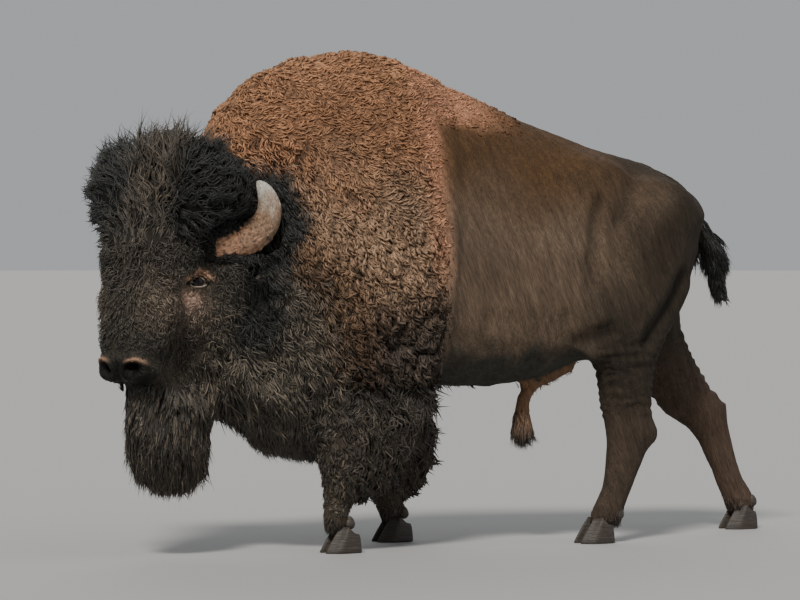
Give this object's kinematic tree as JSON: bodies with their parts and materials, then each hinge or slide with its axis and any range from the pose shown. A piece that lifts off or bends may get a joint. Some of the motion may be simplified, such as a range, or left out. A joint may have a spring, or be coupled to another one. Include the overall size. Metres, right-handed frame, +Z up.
{
  "type": "american bison",
  "caption": "Standing bull bison with a lowered, turned head, short curved horns, a woolly hump and cape, a beard and a smooth short-haired rear; still, life-size figure.",
  "frame": {"origin": "middle of the bounding box at floor level, under the trunk", "axes": "+Z up; the animal faces -Y, so +Y points to its tail; +X is its left side"},
  "size_m": [0.7712, 2.7948, 1.7986],
  "materials": {
    "cape_coat": "matt woolly coat, orange brown",
    "flank_coat": "short smooth grey-brown coat",
    "dark_coat": "short dense dark brown coat",
    "black_hair": "long curly black-brown hair",
    "horn": "rough flaky horn, smooth and grey at the tip",
    "hoof": "worn dark horn",
    "eye": "wet dark brown eyeball",
    "bare_skin": "thinly haired skin"
  },
  "bodies": {
    "root": {"face": "dark_coat", "poll": "dark_coat", "crown_hair": "black_hair", "eye_left": "eye", "horn_left": "horn", "ear_left": "black_hair", "eye_right": "eye", "horn_right": "horn", "ear_right": "black_hair", "beard": "black_hair", "neck": "cape_coat", "hump": "cape_coat", "chest_mane": "dark_coat", "sheath": "bare_skin", "barrel": "flank_coat", "tail": "flank_coat", "tail_tuft": "black_hair", "scrotum": "dark_coat", "rump": "flank_coat", "foreleg_hair_left": "black_hair", "leg_upper_front_left": "dark_coat", "shank_front_left": "dark_coat", "dewclaw_outer_front_left": "hoof", "hoof_outer_front_left": "hoof", "dewclaw_inner_front_left": "hoof", "hoof_inner_front_left": "hoof", "foreleg_hair_right": "black_hair", "leg_upper_front_right": "dark_coat", "shank_front_right": "dark_coat", "dewclaw_outer_front_right": "hoof", "hoof_outer_front_right": "hoof", "dewclaw_inner_front_right": "hoof", "hoof_inner_front_right": "hoof", "leg_upper_hind_left": "dark_coat", "shank_hind_left": "dark_coat", "dewclaw_outer_hind_left": "hoof", "hoof_outer_hind_left": "hoof", "dewclaw_inner_hind_left": "hoof", "hoof_inner_hind_left": "hoof", "leg_upper_hind_right": "dark_coat", "shank_hind_right": "dark_coat", "dewclaw_outer_hind_right": "hoof", "hoof_outer_hind_right": "hoof", "dewclaw_inner_hind_right": "hoof", "hoof_inner_hind_right": "hoof"}
  },
  "joints": []
}
